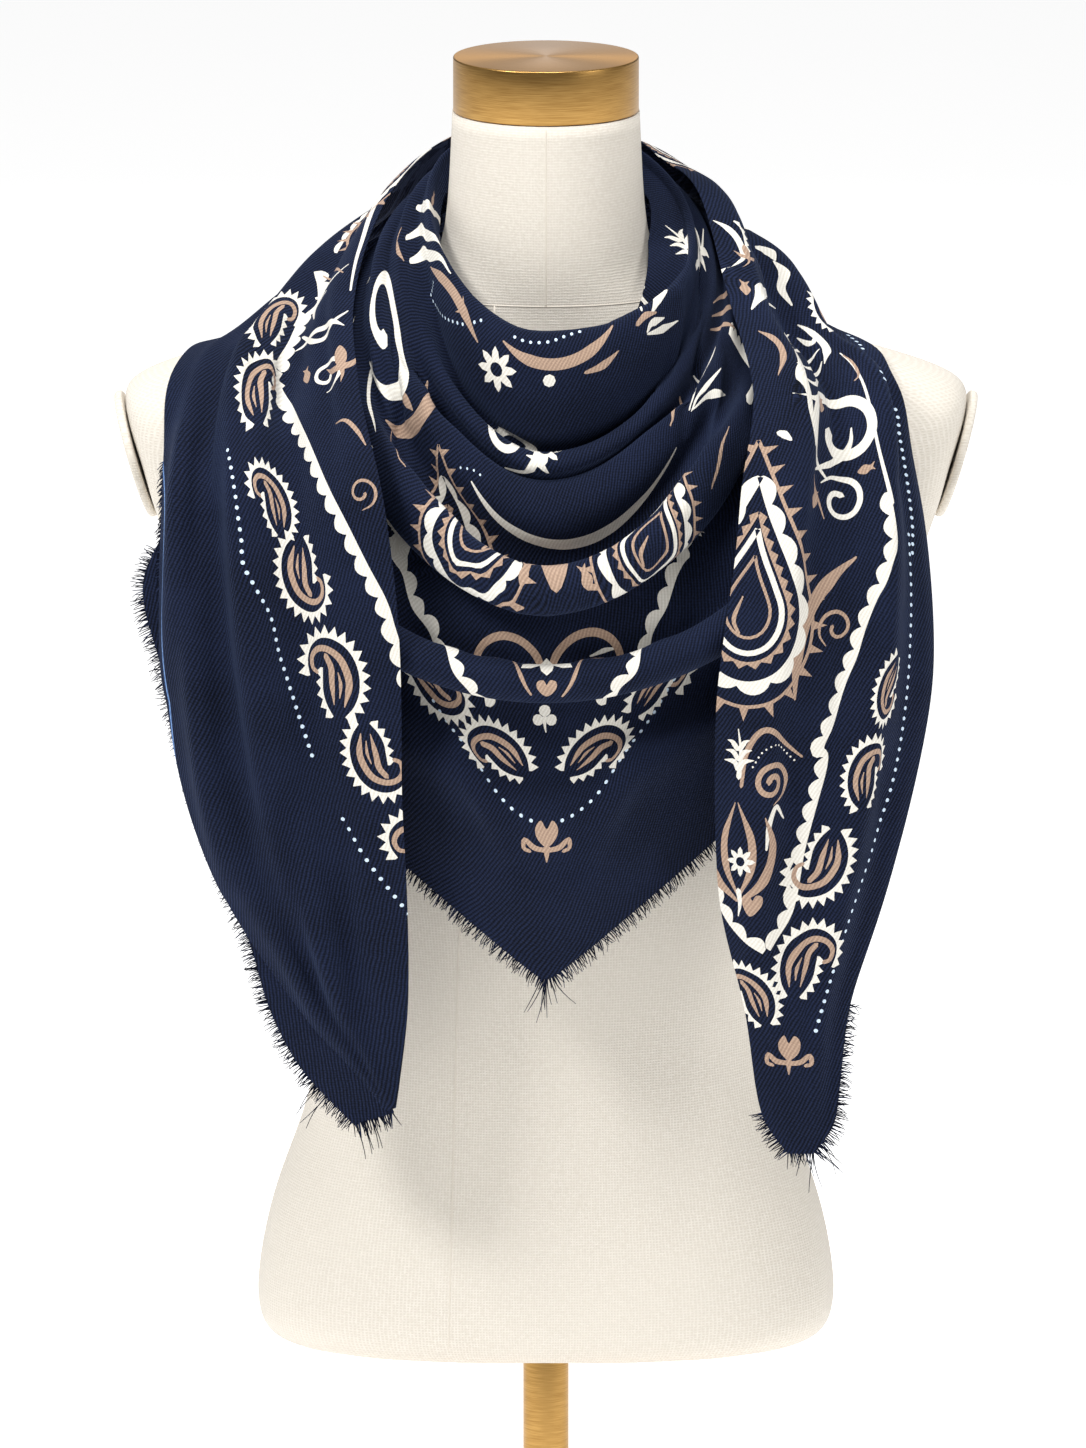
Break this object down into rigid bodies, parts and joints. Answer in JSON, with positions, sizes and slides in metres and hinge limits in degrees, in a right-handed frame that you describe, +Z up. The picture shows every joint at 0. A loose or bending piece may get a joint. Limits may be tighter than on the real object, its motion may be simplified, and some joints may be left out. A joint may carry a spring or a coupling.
{
  "type": "printed bandana square scarf worn on a limbless dress form stand",
  "caption": "Printed square scarf folded to a triangle and wrapped round the neck of a limbless dress form on a pole stand.",
  "frame": {"origin": "centre of the flat underside of the stand's base disc, on the floor", "axes": "+Z up along the pole; the scarf's point and the form's chest face -Y; +X is the viewer's right seen from the front"},
  "size_m": [0.4064, 0.2837, 0.8172],
  "materials": {
    "navy_print_cloth": "fine twill with a printed cream and taupe paisley border, matte",
    "frayed_yarn": "loose yarn ends of a frayed edge, matte",
    "linen": "plain woven linen cover, matte",
    "brushed_brass": "brushed, satin"
  },
  "bodies": {
    "root": {"neck_cowl": "navy_print_cloth", "front_drape": "navy_print_cloth", "right_tail": "navy_print_cloth", "left_tail": "navy_print_cloth", "left_tail_under": "navy_print_cloth", "front_point_fringe_left": "frayed_yarn", "front_point_fringe_right": "frayed_yarn", "left_tail_fringe": "frayed_yarn", "left_under_fringe": "frayed_yarn", "right_tail_fringe": "frayed_yarn", "torso": "linen", "arm_plate_left": "linen", "arm_plate_right": "linen", "neck_cap": "brushed_brass", "pole": "brushed_brass", "base": "brushed_brass"}
  },
  "joints": []
}
